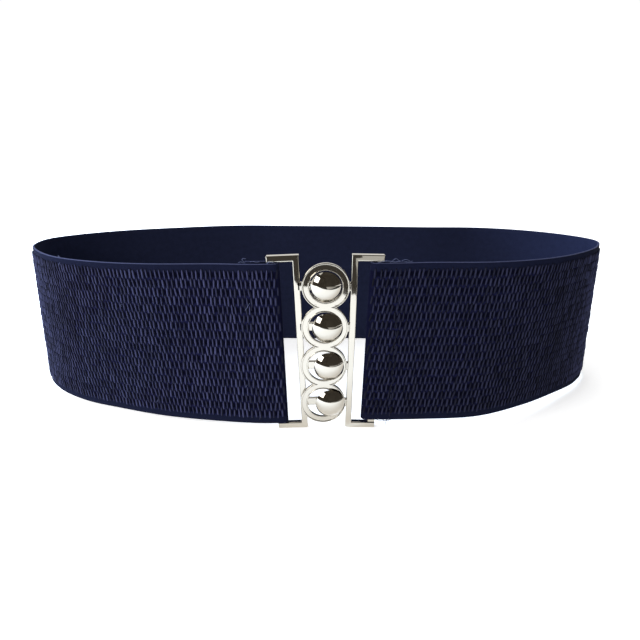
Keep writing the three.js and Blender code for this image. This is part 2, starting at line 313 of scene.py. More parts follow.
@dataclass(frozen=True)
class ElasticCloth:
    """Woven polyester over rubber, dyed navy: matt, with a fine plain weave between the ribs.

    The light pairs multiply the colour at the two ends of the range named before them.
    """

    name: str
    colour: str
    roughness: float
    specular: float
    sheen: float
    thread_mm: float
    relief: float
    weave: Weave
    relief_mm: float = 0.2
    waver: float = 0.6
    patch_scale: float = 0.35
    uneven: tuple[float, float] = (0.72, 1.28)
    seam_mm: tuple[float, float] = (0.1, 1.3)
    seam_light: tuple[float, float] = (1.2, -0.6)
    even_light: float = 1.25
    # Painted highlight on the floats' crests: range of the crest value, and strengths
    crest_highlight: tuple[float, float] = (0.3, 1.1)
    crest_light: tuple[float, float] = (0.14, 1.3)
    # Painted shade over the ring half of the ribs: cloth distances in millimetres, and strengths
    ring_shade_mm: tuple[float, float] = (112.0, 162.0)
    ring_shade_light: tuple[float, float] = (0.48, 1.0)

    def material(self) -> Material:
        """Builds the cloth, with its threads as crossed waves at their real spacing.

        Returns:
            The material.
        """
        made, shader = new_material(
            self.name, self.colour, Roughness=self.roughness, Specular_IOR_Level=self.specular,
            Sheen_Weight=self.sheen, Sheen_Roughness=0.5, Sheen_Tint=linear(SHEEN_TINT),
        )
        tree = made.node_tree
        cloth = add_node(tree, "ShaderNodeUVMap", uv_map="cloth").outputs["UV"]
        # The UV map holds millimetres, so one wave is one thread
        waves = [
            add_node(
                tree, "ShaderNodeTexWave", {"Vector": cloth}, wave_type="BANDS", bands_direction=axis,
                Scale=math.tau / WAVE_FACTOR / self.thread_mm, Distortion=self.waver, Detail=1.0,
            ).outputs["Fac"]
            for axis in "XY"
        ]
        threads = add_node(tree, "ShaderNodeMath", dict(enumerate(waves)), operation="MULTIPLY")
        bump = add_node(
            tree, "ShaderNodeBump", {"Height": threads.outputs["Value"]},
            Strength=self.relief, Distance=self.relief_mm * MM,
        )
        # Dye takes a little unevenly over a few millimetres
        patches = add_node(
            tree, "ShaderNodeTexNoise", {"Vector": cloth}, Scale=self.patch_scale, Detail=4.0, Roughness=0.65
        )
        shade = add_node(
            tree, "ShaderNodeMapRange", {"Value": patches.outputs["Fac"]},
            To_Min=self.uneven[0], To_Max=self.uneven[1],
        )
        tint = add_node(
            tree, "ShaderNodeVectorMath", {0: linear(self.colour)[:3], 1: shade.outputs["Result"]},
            operation="MULTIPLY",
        )
        special = {Weave.HOLLOW: self.paint_shade_between_ribs, Weave.RIB: self.paint_light_over_ribs}.get(self.weave)
        if special:
            tint = add_node(
                tree, "ShaderNodeVectorMath", {0: tint.outputs["Vector"], "Scale": special(tree, cloth)},
                operation="SCALE",
            )
        tree.links.new(tint.outputs["Vector"], shader.inputs["Base Color"])
        tree.links.new(bump.outputs["Normal"], shader.inputs["Normal"])
        return made

    def paint_shade_between_ribs(self, tree: NodeTree, cloth: NodeSocket) -> NodeSocket:
        """Shades the ground with painted shade: dark inside a row, where the ribs shade it, and mid in tone
        where two rows interlock and floats dive in.

        Args:
            tree: Node tree of the material.
            cloth: Place on the cloth in millimetres.

        Returns:
            Strength of the colour.
        """
        level = add_node(tree, "ShaderNodeSeparateXYZ", {"Vector": cloth}).outputs["Y"]
        shifted = add_node(tree, "ShaderNodeMath", {0: level, 1: ROW_SHIFT}, operation="ADD")
        from_seam = add_node(
            tree, "ShaderNodeMath", {0: shifted.outputs["Value"], 1: ROW_HEIGHT / 2}, operation="PINGPONG"
        )
        bridge = add_node(
            tree, "ShaderNodeMapRange", {"Value": from_seam.outputs["Value"]},
            interpolation_type="SMOOTHSTEP", From_Min=self.seam_mm[0], From_Max=self.seam_mm[1],
            To_Min=self.seam_light[0], To_Max=self.seam_light[1],
        )
        # At the folds, where the floats fade out, the ground is even and lighter, free of the ribs' painted
        # shade
        raised = add_node(tree, "ShaderNodeAttribute", attribute_name="raised")
        return add_node(
            tree, "ShaderNodeMath",
            {0: bridge.outputs["Result"], 1: raised.outputs["Fac"], 2: self.even_light},
            operation="MULTIPLY_ADD",
        ).outputs["Value"]

    def paint_light_over_ribs(self, tree: NodeTree, cloth: NodeSocket) -> NodeSocket:
        """Shades the ribs with painted light: a painted highlight on each float's crest, and painted shade
        down its flanks and over the ring half.

        Args:
            tree: Node tree of the material.
            cloth: Place on the cloth in millimetres.

        Returns:
            Strength of the colour.
        """
        crest_highlight = add_node(tree, "ShaderNodeAttribute", attribute_name="crest_highlight").outputs["Fac"]
        # Painted shade: the ribs are painted darker over the first fifth of the tape, at the ring half, which
        # lies away from the lamps at the left
        reach = add_node(tree, "ShaderNodeSeparateXYZ", {"Vector": cloth}).outputs["X"]
        lights = [
            add_node(
                tree, "ShaderNodeMapRange", {"Value": value}, interpolation_type="SMOOTHSTEP",
                From_Min=given[0], From_Max=given[1], To_Min=light[0], To_Max=light[1],
            ).outputs["Result"]
            for value, given, light in (
                (crest_highlight, self.crest_highlight, self.crest_light), (reach, self.ring_shade_mm, self.ring_shade_light)
            )
        ]
        both = add_node(tree, "ShaderNodeMath", dict(enumerate(lights)), operation="MULTIPLY")
        return both.outputs["Value"]


@dataclass(frozen=True)
class Thread:
    """Spun polyester sewing or selvage thread: matt, a little fuzzy."""

    name: str
    colour: str

    def material(self) -> Material:
        """Builds the thread, plain, because its twist is too fine to see."""
        look = {"Roughness": 0.8, "Specular_IOR_Level": 0.1, "Sheen_Weight": 0.05}
        return new_material(self.name, self.colour, **look)[0]


@dataclass(frozen=True)
class PolishedNickel:
    """Die-cast zinc with bright nickel plate, tumbled and buffed: mirror-like, faintly wavy."""

    name: str
    colour: str
    roughness: float
    wave_mm: float
    relief: float = 0.25
    relief_mm: float = 0.15
    dulling: tuple[float, float] = (0.7, 1.4)

    def material(self) -> Material:
        """Builds the plate, with the slight waves and dulling that buffing leaves.

        Returns:
            The material.
        """
        made, shader = new_material(self.name, self.colour, Metallic=1.0)
        tree = made.node_tree
        place = add_node(tree, "ShaderNodeTexCoord").outputs["Object"]
        waves, haze = (
            add_node(
                tree, "ShaderNodeTexNoise", {"Vector": place},
                Scale=finer / (self.wave_mm * MM), Detail=detail, Roughness=grain,
            ).outputs["Fac"]
            for finer, detail, grain in ((1, 2.0, 0.5), (4, 3.0, 0.6))
        )
        low, high = (self.roughness * share for share in self.dulling)
        rough = add_node(tree, "ShaderNodeMapRange", {"Value": haze}, To_Min=low, To_Max=high)
        bump = add_node(
            tree, "ShaderNodeBump", {"Height": waves}, Strength=self.relief, Distance=self.relief_mm * MM
        )
        tree.links.new(rough.outputs["Result"], shader.inputs["Roughness"])
        tree.links.new(bump.outputs["Normal"], shader.inputs["Normal"])
        return made


GROUND_CLOTH = ElasticCloth("navy woven elastic ground", "121527", 1.0, 0.04, 0.0, 0.55, 0.5, Weave.PLAIN)
# Painted shade: the ground between the ribs is painted near black for the shade that the ribs cast into it
SHADED_HOLLOW_CLOTH = ElasticCloth("navy elastic between ribs", "0A0B1D", 1.0, 0.02, 0.0, 0.55, 0.5, Weave.HOLLOW)
# Painted light: the inner face is the same cloth painted lighter than the outer plain strips, making up for
# the light that reaches it less
INNER_LIT_CLOTH = ElasticCloth("navy elastic inner face", "1B1F33", 1.0, 0.04, 0.0, 0.55, 0.5, Weave.PLAIN)
# Painted highlight: the selvage edge is painted paler than the ground, for light from above catching the
# tape's edge
EDGE_HIGHLIGHT_CLOTH = ElasticCloth("navy elastic selvage edge", "393D56", 0.9, 0.1, 0.02, 0.55, 0.3, Weave.PLAIN)
RIB_CLOTH = ElasticCloth("navy woven elastic rib", "31334E", 0.85, 0.1, 0.06, 0.35, 0.35, Weave.RIB)
SEWING_THREAD = Thread("navy sewing thread", "14162B")
LOOSE_THREAD = Thread("pale navy loose thread", "4E5470")
NICKEL = PolishedNickel("bright nickel plate", "BCB6AA", 0.035, 9.0)


# Clasp and tape sizes, the same as in the part's source, in millimetres


class ClaspSide(NamedTuple):
    """How one half of the clasp hangs, and how its end of the tape sits on it."""

    side: int
    turn_deg: float
    foot_slack: float
    head_slack: float
    foot_gap: float
    head_gap: float
    stitch: float


STUD_SIDE = ClaspSide(-1, 1.8, 0.2, 0.8, 0.5, 0.4, 12.4)
RING_SIDE = ClaspSide(1, 1.6, 2.0, 1.3, 1.9, 0.4, 9.9)


class Station(NamedTuple):
    """A place of the loop seen from above, as shares of the half span and of the depth."""

    across: float
    back: float
    foot_across: float
    foot_back: float


LOOP = tuple(Station(*row) for row in (
    (0.3, 0.01, 0.3, 0.004), (0.487, 0.022, 0.48, 0.03), (0.653, 0.087, 0.647, 0.126),
    (0.793, 0.2, 0.78, 0.233), (0.907, 0.35, 0.913, 0.362), (0.953, 0.487, 0.983, 0.496),
    (0.913, 0.624, 0.947, 0.632), (0.8, 0.769, 0.827, 0.786), (0.633, 0.866, 0.647, 0.885),
    (0.413, 0.896, 0.42, 0.923), (0.173, 0.936, 0.173, 0.96), (-0.08, 0.968, -0.08, 0.968),
    (-0.333, 1.0, -0.333, 0.979), (-0.573, 0.95, -0.58, 0.949), (-0.78, 0.874, -0.793, 0.88),
    (-0.927, 0.769, -0.953, 0.778), (-1.0, 0.658, -1.03, 0.65), (-0.993, 0.504, -1.02, 0.496),
    (-0.92, 0.355, -0.933, 0.35), (-0.8, 0.207, -0.8, 0.229), (-0.647, 0.103, -0.647, 0.145),
    (-0.487, 0.043, -0.487, 0.072), (-0.287, 0.017, -0.287, 0.017),
))


@dataclass(frozen=True)
class ClaspFrame:
    """Sizes of the cast frame that both halves share."""

    height: float = 81.0
    arm_height: float = 2.7
    width: float = 13.6
    thickness: float = 2.8
    bar_width: float = 2.8
    hidden_width: float = 3.2
    hidden_thickness: float = 1.8
    gap: float = 22.2
    offset: float = 2.5
    front: float = 1.3
    edge_round: float = 0.42
    hidden_round: float = 0.5
    edge_steps: int = 4

    @property
    def outer(self) -> float:
        """Distance from the bar's middle to the arms' outer ends."""
        return self.width - self.bar_width / 2

    @property
    def hidden_inner(self) -> float:
        """Distance from the bar's middle to the near face of the hidden bar."""
        return self.outer - self.hidden_width

    def rest_height(self, half: ClaspSide) -> float:
        """Height of a half's middle with its lower outer corner on the ground."""
        turn = math.radians(half.turn_deg)
        return self.height / 2 * math.cos(turn) + self.outer * math.sin(turn)

    def across_at(self, half: ClaspSide, outwards: float, height: float) -> float:
        """Finds where a point of a half's frame comes across the belt.

        Args:
            half: Half of the clasp.
            outwards: Distance of the point from the bar's middle.
            height: Height above the ground.

        Returns:
            Place across the belt in drawing millimetres.
        """
        turn = math.radians(half.turn_deg)
        rise = height - self.rest_height(half)
        reach = self.gap / 2 + outwards / math.cos(turn) + rise * math.tan(turn)
        return self.offset + half.side * reach

    def hang(self, half: ClaspSide) -> Matrix:
        """Place of a half in the drawing, turned on its lower outer corner."""
        turn = Matrix.Rotation(half.side * math.radians(half.turn_deg), 4, "Y")
        return Matrix.Translation((self.offset + half.side * self.gap / 2, 0, self.rest_height(half))) @ turn

    def casting(self) -> BMesh:
        """Builds the bar with its two arms, and the thin bar that the tape folds round.

        Returns:
            The frame about the middle of its bar, with its arms towards +X.
        """
        half = self.height / 2
        opening = half - self.arm_height
        inner = self.bar_width / 2
        build = bmesh.new()
        outline = (
            (-inner, -half), (self.outer, -half), (self.outer, -opening), (inner, -opening),
            (inner, opening), (self.outer, opening), (self.outer, half), (-inner, half),
        )
        face = build.faces.new([build.verts.new((x, self.front, z)) for x, z in outline])
        raised = bmesh.ops.extrude_face_region(build, geom=[face])["geom"]
        back = [item for item in raised if isinstance(item, BMVert)]
        bmesh.ops.translate(build, vec=(0, self.thickness, 0), verts=back)
        bmesh.ops.recalc_face_normals(build, faces=build.faces)
        round_edges(build, self.edge_round, self.edge_steps)
        middle = self.front + self.thickness / 2
        hidden = slab(
            (self.hidden_inner, middle - self.hidden_thickness / 2, -opening - self.arm_height / 2),
            (self.outer, middle + self.hidden_thickness / 2, opening + self.arm_height / 2),
            self.hidden_round,
        )
        merge_into(build, hidden)
        return build


@dataclass(frozen=True)
class RingHalf:
    """The half with a column of fused rings on lugs."""

    frame: ClaspFrame = field(default_factory=ClaspFrame)
    count: int = 4
    pitch: float = 18.05
    radius: float = 10.1
    hole: float = 6.9
    thickness: float = 1.5
    front: float = -0.5
    rim: float = 0.75
    lip: float = 0.6
    dish: float = 0.38
    bead_steps: int = 6
    bead_sunk: float = 0.02
    neck_width: float = 10.0
    neck_height: float = 3.0
    reach: float = 11.85
    lug_height: float = 3.8
    lug_thickness: float = 2.0
    lug_bite: float = 0.3
    lug_round: float = 0.5
    web_width: float = 1.6
    web_setback: float = 0.35
    web_round: float = 0.45
    ease: tuple[float, float] = (0.15, 0.3)
    step: float = 0.05
    sides: int = 72
    column_merge: float = 2e-3

    def heights(self) -> list[float]:
        """Heights of the rings about the middle of the half."""
        return [(i - (self.count - 1) / 2) * self.pitch for i in range(self.count)]

    def bead(self, low: float, high: float) -> list[tuple[float, float]]:
        """Draws a half round between two radii, standing on the ring's flat floor.

        Args:
            low: Inner radius.
            high: Outer radius.

        Returns:
            Radius and depth pairs in millimetres.
        """
        reach, middle = (high - low) / 2, (high + low) / 2
        turns = [math.pi * (1 - step / self.bead_steps) for step in range(self.bead_steps + 1)]
        depth = self.front + min(reach, self.dish - self.bead_sunk)
        return [
            (middle + reach * math.cos(turn), depth - (depth - self.front) * math.sin(turn)) for turn in turns
        ]

    def ring(self, open_low: bool, open_high: bool) -> BMesh:
        """Builds one ring, cut flat where it joins its neighbours.

        Args:
            open_low: True where a ring stands below.
            open_high: True where a ring stands above.

        Returns:
            The ring about its own centre.
        """
        back = self.front + self.thickness
        rim_in = self.radius - self.rim
        floor = self.front + self.dish
        across, deep = self.ease
        profile = [
            (self.hole + across, back), (self.hole, back - deep),
            *self.bead(self.hole, self.hole + self.lip), (self.hole + self.lip + self.step, floor),
            (rim_in - self.step, floor), *self.bead(rim_in, self.radius),
            (self.radius, back - deep), (self.radius - across, back),
        ]
        build = turned(profile, self.sides, closed=True)
        for wanted, sign in ((open_low, -1), (open_high, 1)):
            if wanted:
                bmesh.ops.bisect_plane(
                    build, geom=build.verts[:] + build.edges[:] + build.faces[:], dist=1e-5,
                    plane_co=(0, 0, sign * self.pitch / 2), plane_no=(0, 0, sign), clear_outer=True,
                )
        return build

    def build(self, finish: Material) -> Object:
        """Builds and places the half.

        Args:
            finish: Metal finish.

        Returns:
            The piece, standing for the part's ring_half.
        """
        whole = self.frame.casting()
        heights = self.heights()
        back = self.front + self.thickness
        column = bmesh.new()
        for index, height in enumerate(heights):
            ring = self.ring(index > 0, index < self.count - 1)
            merge_into(column, ring, Matrix.Translation((-self.reach, 0, height)))
            lug_front = back - self.lug_thickness / 2
            lug_low, lug_high = height - self.lug_height / 2, height + self.lug_height / 2
            lug = slab(
                (-self.reach + self.radius - 2 * self.rim, lug_front, lug_low),
                (self.lug_bite - self.frame.bar_width / 2, lug_front + self.lug_thickness, lug_high),
                self.lug_round,
            )
            merge_into(column, lug)
        half_neck, half_height = self.neck_width / 2, self.neck_height / 2
        for height in heights[1:]:
            for left in (-half_neck, half_neck - self.web_width):
                web = slab(
                    (left, self.front + self.web_setback, -half_height),
                    (left + self.web_width, back, half_height), self.web_round,
                )
                merge_into(column, web, Matrix.Translation((-self.reach, 0, height - self.pitch / 2)))
        bmesh.ops.remove_doubles(column, verts=column.verts, dist=self.column_merge)
        merge_into(whole, column)
        piece = finish_piece(
            "ring_half_casting", mesh_from("ring_half_casting", whole, self.frame.hang(RING_SIDE)),
            finish,
        )
        keep_flat(piece)
        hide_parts("ring_half")
        return piece


@dataclass(frozen=True)
class StudHalf:
    """The half with four arms that each carry a dome on a neck."""

    frame: ClaspFrame = field(default_factory=ClaspFrame)
    count: int = 4
    pitch: float = 18.05
    reach: float = 12.05
    dome_radius: float = 6.5
    crown: float = 3.0
    edge: float = 0.4
    underside: float = -0.8
    neck_radius: float = 2.7
    arm_height: float = 3.8
    arm_thickness: float = 1.4
    arm_round: float = 0.4
    pad_radius: float = 3.5
    pad_sides: int = 32
    ease: float = 0.3
    rim: tuple[float, float] = (0.15, 0.12)
    sides: int = 64
    cap_steps: int = 14

    def dome(self) -> BMesh:
        """Builds one dome with its neck.

        Returns:
            The dome about its own axis.
        """
        sphere = (self.dome_radius**2 + self.crown**2) / (2 * self.crown)
        opening = math.asin(self.dome_radius / sphere)
        peak = self.underside - self.edge - self.crown
        turns = [opening * step / self.cap_steps for step in range(1, self.cap_steps + 1)]
        cap = [(sphere * math.sin(turn), peak + sphere * (1 - math.cos(turn))) for turn in turns]
        root = self.frame.front + self.arm_thickness / 2
        across, deep = self.rim
        profile = [
            (0.0, peak), *cap,
            (self.dome_radius, self.underside - deep), (self.dome_radius - across, self.underside),
            (self.neck_radius + self.ease, self.underside), (self.neck_radius, self.underside + self.ease),
            (self.neck_radius, root), (0.0, root),
        ]
        return turned(profile, self.sides, closed=False)

    def build(self, finish: Material) -> Object:
        """Builds and places the half.

        Args:
            finish: Metal finish.

        Returns:
            The piece, standing for the part's stud_half.
        """
        whole = self.frame.casting()
        bmesh.ops.transform(whole, matrix=Matrix.Diagonal((-1, 1, 1, 1)), verts=whole.verts)
        bmesh.ops.recalc_face_normals(whole, faces=whole.faces)
        front, back = self.frame.front, self.frame.front + self.arm_thickness
        pad_outline = (
            (0.0, front), (self.pad_radius - self.ease, front), (self.pad_radius, front + self.ease),
            (self.pad_radius, back - self.ease), (self.pad_radius - self.ease, back), (0.0, back),
        )
        for index in range(self.count):
            height = (index - (self.count - 1) / 2) * self.pitch
            low, high = height - self.arm_height / 2, height + self.arm_height / 2
            merge_into(whole, slab((0, front, low), (self.reach, back, high), self.arm_round))
            pad = turned(pad_outline, self.pad_sides, closed=False)
            merge_into(whole, pad, Matrix.Translation((self.reach, 0, height)))
            merge_into(whole, self.dome(), Matrix.Translation((self.reach, 0, height)))
        piece = finish_piece(
            "stud_half_casting", mesh_from("stud_half_casting", whole, self.frame.hang(STUD_SIDE)),
            finish,
        )
        keep_flat(piece)
        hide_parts("stud_half")
        return piece


class EdgeCurve:
    """Plan of one edge of the tape, through its stations, read by share of its own length."""

    SAMPLES = 48

    def __init__(self, points: Sequence[tuple[float, float]]) -> None:
        """Samples the curve.

        Args:
            points: Places of the stations in millimetres.
        """
        known = [np.array(point, float) for point in points]
        known = [2 * known[0] - known[1], *known, 2 * known[-1] - known[-2]]
        spots = [known[1]]
        for before, start, end, after in zip(known, known[1:], known[2:], known[3:]):
            steps = (start - before, end - start, after - end)
            first, gap, last = (math.sqrt(np.linalg.norm(step)) for step in steps)
            lead = (steps[0] / first - (end - before) / (first + gap) + steps[1] / gap) * gap
            trail = (steps[1] / gap - (after - start) / (gap + last) + steps[2] / last) * gap
            for step in range(1, self.SAMPLES + 1):
                t = step / self.SAMPLES
                spots.append(
                    start + lead * t + (3 * (end - start) - 2 * lead - trail) * t**2
                    + (2 * (start - end) + lead + trail) * t**3
                )
        self.spots = np.array(spots)
        run = run_along(self.spots)
        self.length = float(run[-1])
        self.share = run / self.length
        slope = np.gradient(self.spots, self.share, axis=0)
        self.slope = slope / np.linalg.norm(slope, axis=1)[:, None]

    def at(self, share: np.ndarray) -> np.ndarray:
        """Places at shares of the length."""
        return np.stack([np.interp(share, self.share, self.spots[:, k]) for k in (0, 1)], -1)

    def heading(self, share: np.ndarray) -> np.ndarray:
        """Directions at shares of the length."""
        return np.stack([np.interp(share, self.share, self.slope[:, k]) for k in (0, 1)], -1)


class TapeEnd(NamedTuple):
    """Height and fold line of the tape's two edges at one half of the clasp."""

    foot: float
    head: float
    foot_fold: float
    head_fold: float


class LooseThread(NamedTuple):
    """A thread that hangs out of a hem.

    Its points are the distance from the fold, the height above the level, and the distance out of
    the front layer, in millimetres.
    """

    ring: bool
    level: float
    points: tuple[tuple[float, float, float], ...]


LOOSE_THREADS = tuple(LooseThread(*row) for row in (
    (False, 75, ((14.5, -0.3, -1.4), (15.6, 0.8, -1.0), (16.4, 1.5, -0.8), (15.8, 2.2, -0.6),
                 (14.7, 2.0, -0.9))),
    (False, 75, ((14.8, -0.2, -1.5), (15.9, 0.3, -1.2), (17.2, 0.6, -1.3), (18.3, 0.2, -1.6))),
    (False, 75, ((13.8, -0.2, -1.3), (13.2, 0.6, -1.1), (12.0, 0.9, -0.9), (10.2, 0.5, -1.1),
                 (9.0, 0.7, -1.2))),
    (False, 75, ((6.0, -0.2, -0.2), (5.0, 0.8, 0.2), (3.8, 0.7, 0.4), (2.6, 0.3, 0.2))),
    (True, 75, ((3.0, -0.2, 0.0), (5.5, 0.6, 0.2), (8.0, 0.9, 0.3), (11.0, 0.4, 0.1), (13.0, 0.9, 0.1))),
    (True, 75, ((9.0, -0.2, -1.0), (10.2, 1.0, -0.8), (11.4, 1.7, -0.6), (12.2, 1.1, -0.8),
                 (13.4, 0.2, -1.1))),
    (True, 75, ((13.6, -0.2, -1.4), (14.6, 0.9, -1.1), (15.8, 1.1, -0.9), (17.4, 0.5, -1.1))),
    (True, 75, ((14.2, -0.3, -1.4), (15.4, 0.2, -1.0), (16.9, 0.1, -0.9), (18.6, 0.4, -1.0))),
    (True, 0, ((12.4, 0.3, -0.9), (12.6, -1.2, -0.7), (12.2, -2.2, -0.4), (12.7, -3.2, -0.1))),
    (True, 0, ((13.6, 0.3, -1.2), (13.8, -1.0, -1.0), (14.1, -2.4, -0.8))),
    (True, 0, ((7.5, 0.2, -0.4), (9.0, -0.5, -0.1), (11.0, -0.6, 0.1), (13.0, -0.2, -0.1))),
    (True, 0, ((10.0, 0.2, -1.2), (11.5, -0.9, -0.9), (13.6, -0.8, -0.7), (15.4, -0.3, -1.0))),
    (False, 0, ((14.6, 0.2, -1.4), (15.6, -0.5, -1.1), (16.8, -0.3, -0.9))),
    (False, 55, ((16.4, 0.0, 0.5), (15.8, 0.8, 1.0), (15.0, 2.0, 1.0), (14.2, 3.3, 0.6))),
    (False, 35.5, ((18.0, 0.0, 0.5), (17.7, 0.7, 1.0), (17.3, 1.4, 0.6))),
    (False, 18.5, ((18.9, 0.0, 0.5), (18.5, 0.8, 1.0), (18.2, 1.5, 0.6))),
    (False, 72, ((108.2, -0.7, 0.4), (107.4, 0.0, 0.9), (106.7, 0.9, 0.8))),
    (False, 75, ((108.4, -0.1, 0.0), (107.9, 0.8, 0.2), (107.2, 0.7, 0.3), (106.5, -0.1, 0.1))),
    (False, 55.5, ((73.6, -0.5, 0.5), (73.4, 0.3, 0.9), (73.3, 0.9, 0.5))),
    (False, 8, ((63.2, -0.6, 0.5), (62.9, 0.1, 0.9), (62.7, 0.8, 0.5))),
))


class RibLean(NamedTuple):
    """How far the ribs lean at a share of the loop, in degrees, with the top towards +X positive."""

    share: float
    degrees: float


class TapeFinishes(NamedTuple):
    """Materials of the tape: smooth strips, hollows, inner face, edges, ribs, stitches, loose threads."""

    plain: Material
    hollow: Material
    inner: Material
    rim: Material
    rib: Material
    sewing: Material
    loose: Material


@dataclass
class ElasticTape:
    """The elastic: one strip of cloth round the loop, with a folded and sewn hem at each end."""

    frame: ClaspFrame = field(default_factory=ClaspFrame)
    width: float = 75.0
    wall: float = 1.5
    half_span: float = 150.0
    depth: float = 117.0
    hem: float = 15.0
    landing: float = 0.3
    seat_gap: float = 0.3
    ground_wall: float = 1.1
    selvage: float = 3.3
    first_row: float = 2.75
    row_height: float = ROW_HEIGHT
    rib_rows: int = 18
    rib_pitch: float = 2.0
    rib_half_width: float = 0.56
    rib_height: float = 0.7
    rib_fill: float = 1.16
    rib_sunk: float = 0.12
    rib_bluntness: float = 0.7
    rib_faces: tuple[int, int] = (8, 6)
    rib_jitter: tuple[float, float] = (0.12, 0.16)
    rib_widths: tuple[float, float] = (0.75, 1.15)
    rib_lengths: tuple[float, float] = (0.88, 1.1)
    rib_heights: tuple[float, float] = (0.7, 1.15)
    rib_shades: tuple[float, float] = (0.74, 1.2)
    side_light: float = 0.45
    lean_jitter: float = 0.05
    least_raised: float = 0.1
    hem_skew: tuple[float, float] = (0.4, 1.0)
    plain_fold: float = 0.9
    fold_fade: float = 4.0
    seam_reach: float = 13.6
    marks: tuple[float, float] = (13.6, 16.6)
    mark_depth: float = 0.55
    mark_fade: tuple[float, float] = (0.5, 1.8)
    stitch_pitch: float = 3.1
    stitch_size: tuple[float, float, float] = (0.24, 1.24, 0.5)
    stitch_jitter: float = 0.08
    edge_round: float = 0.4
    edge_steps: int = 3
    sharp_deg: float = 60.0
    step: float = 2.5
    fold_step: float = 0.45
    fold_turns: int = 17
    fold_easing: int = 3
    hem_gap: float = 0.05
    rows: int = 45
    thread_radius: float = 0.1
    strand_deg: float = 80.0
    leans: tuple[RibLean, ...] = (
        RibLean(0.0, 5), RibLean(0.06, 6), RibLean(0.2, 7), RibLean(0.3, 0), RibLean(0.7, 0),
        RibLean(0.8, -6), RibLean(0.9, -2), RibLean(1.0, 1),
    )

    def __post_init__(self) -> None:
        """Works out the ends, the plan curves and the cloth's own path."""
        self.fold_radius = self.frame.hidden_thickness / 2 + self.seat_gap + self.wall
        self.ring_end = self.end(RING_SIDE)
        self.stud_end = self.end(STUD_SIDE)
        self.head = self.edge("head_fold", "across", "back")
        self.foot = self.edge("foot_fold", "foot_across", "foot_back")
        self.run = (self.head.length + self.foot.length) / 2
        self.path = self.cloth_path()

    def end(self, half: ClaspSide) -> TapeEnd:
        """Finds where the tape ends at a half of the clasp.

        Args:
            half: Half of the clasp.

        Returns:
            Heights and fold lines of the two edges.
        """
        foot = self.frame.arm_height + half.foot_gap
        head = self.frame.height - self.frame.arm_height - half.head_gap

        def fold(height: float, slack: float) -> float:
            """Fold line at a height."""
            outwards = self.frame.hidden_inner - self.seat_gap - slack - self.wall
            return self.frame.across_at(half, outwards, height)

        return TapeEnd(foot, head, fold(foot, half.foot_slack), fold(head, half.head_slack))

    def edge(self, fold: str, across: str, back: str) -> EdgeCurve:
        """Builds the plan of one edge from the ring half's fold to the stud half's.

        Args:
            fold: Name of the edge's fold line in a tape end.
            across: Name of the edge's sideways share in a station.
            back: Name of the edge's backward share in a station.

        Returns:
            The plan.
        """
        straight = self.hem - self.fold_radius
        ring, stud = getattr(self.ring_end, fold), getattr(self.stud_end, fold)
        stations = [
            (getattr(row, across) * self.half_span, getattr(row, back) * self.depth) for row in LOOP
        ]
        return EdgeCurve([(ring, 0), (ring + straight, 0), *stations, (stud - straight, 0), (stud, 0)])

    def wrap(self, run: np.ndarray, depth: np.ndarray, share: np.ndarray) -> np.ndarray:
        """Places points of the unrolled tape on the loop.

        Args:
            run: Distance from the ring half's fold in millimetres.
            depth: Distance inwards from the tape's outer face in millimetres.
            share: Share of the width, from the lower edge.

        Returns:
            Points in drawing millimetres.
        """
        along = np.clip(run / self.run, 0, 1)
        rise = share[:, None]
        place = self.foot.at(along) * (1 - rise) + self.head.at(along) * rise
        heading = self.foot.heading(along) * (1 - rise) + self.head.heading(along) * rise
        heading /= np.linalg.norm(heading, axis=1)[:, None]
        ring = 1 - smoothstep(along, 0, self.landing)
        stud = 1 - smoothstep(1 - along, 0, self.landing)
        foot = ring * self.ring_end.foot + stud * self.stud_end.foot
        ring_drop, stud_drop = self.ring_end.head - self.width, self.stud_end.head - self.width
        head = self.width + ring * ring_drop + stud * stud_drop
        return np.stack(
            [
                place[:, 0] - heading[:, 1] * depth,
                place[:, 1] + heading[:, 0] * depth,
                foot * (1 - share) + head * share,
            ],
            -1,
        )

    def end_path(self, half: ClaspSide) -> np.ndarray:
        """Traces the middle of the cloth from a hem's cut edge, round the fold, to the front layer.

        Args:
            half: Half of the clasp that the hem goes round.

        Returns:
            Run and depth pairs in millimetres.
        """
        slack = max(half.foot_slack, half.head_slack)
        channel = self.wall + self.seat_gap + slack + self.frame.hidden_width + self.seat_gap
        outer = 2 * self.fold_radius - self.wall / 2
        hem_depth = 1.5 * self.wall + self.hem_gap
        radius = self.fold_radius - self.wall / 2
        turns = np.linspace(math.pi / 2, 3 * math.pi / 2, self.fold_turns)
        arc = self.fold_radius + radius * np.column_stack([np.cos(turns), np.sin(turns)])
        hem = ((self.hem, hem_depth), (half.stitch + self.seat_gap, hem_depth), (channel, outer))
        knots = np.array([*hem, *arc, (self.hem, self.wall / 2)])
        gaps = run_along(knots)
        spots = np.linspace(0, gaps[-1], int(gaps[-1] / self.fold_step))
        path = np.stack([np.interp(spots, gaps, knots[:, k]) for k in (0, 1)], -1)
        for _ in range(self.fold_easing):
            path[1:-1] = (path[:-2] + 2 * path[1:-1] + path[2:]) / 4
        return path

    def cloth_path(self) -> np.ndarray:
        """Traces the middle of the whole cloth, from the ring half's hem to the stud half's.

        Returns:
            Rows of run, depth and cloth distance in millimetres.
        """
        first = self.end_path(RING_SIDE)
        last = self.end_path(STUD_SIDE)
        last = np.stack([self.run - last[:, 0], last[:, 1]], -1)[::-1]
        count = int((self.run - 2 * self.hem) / self.step)
        middle = np.linspace(self.hem, self.run - self.hem, count + 1)[1:-1]
        body = np.stack([middle, np.full_like(middle, self.wall / 2)], -1)
        whole = np.concatenate([first, body, last])
        return np.column_stack([whole, run_along(whole)])

    @property
    def cloth_length(self) -> float:
        """Length of the cloth from cut edge to cut edge, in millimetres."""
        return float(self.path[-1, 2])

